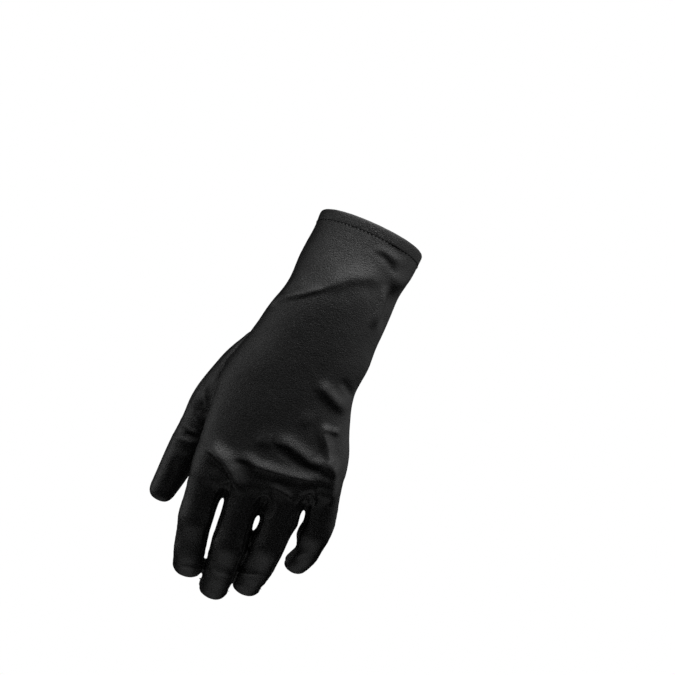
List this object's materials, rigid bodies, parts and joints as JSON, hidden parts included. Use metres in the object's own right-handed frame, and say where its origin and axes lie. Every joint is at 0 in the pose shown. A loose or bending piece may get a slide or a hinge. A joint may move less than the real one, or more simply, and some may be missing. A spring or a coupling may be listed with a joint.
{
  "type": "dress glove",
  "caption": "Wrist-length black satin dress glove for a left hand, in the form it has when worn, with a stitched hem.",
  "frame": {"origin": "centre of the wrist opening, in the plane of its rim", "axes": "+Z from the fingers up towards the wrist opening, -Y out of the back of the hand, +Y out of the palm, -X towards the thumb, +X towards the little finger"},
  "size_m": [0.1014, 0.0801, 0.2219],
  "materials": {
    "satin": "black stretch satin"
  },
  "bodies": {
    "root": {"back_panel": "satin", "palm_panel": "satin", "thumb_panel": "satin", "fourchette_index_middle": "satin", "fourchette_middle_ring": "satin", "fourchette_ring_little": "satin", "cuff_hem": "satin"}
  },
  "joints": []
}
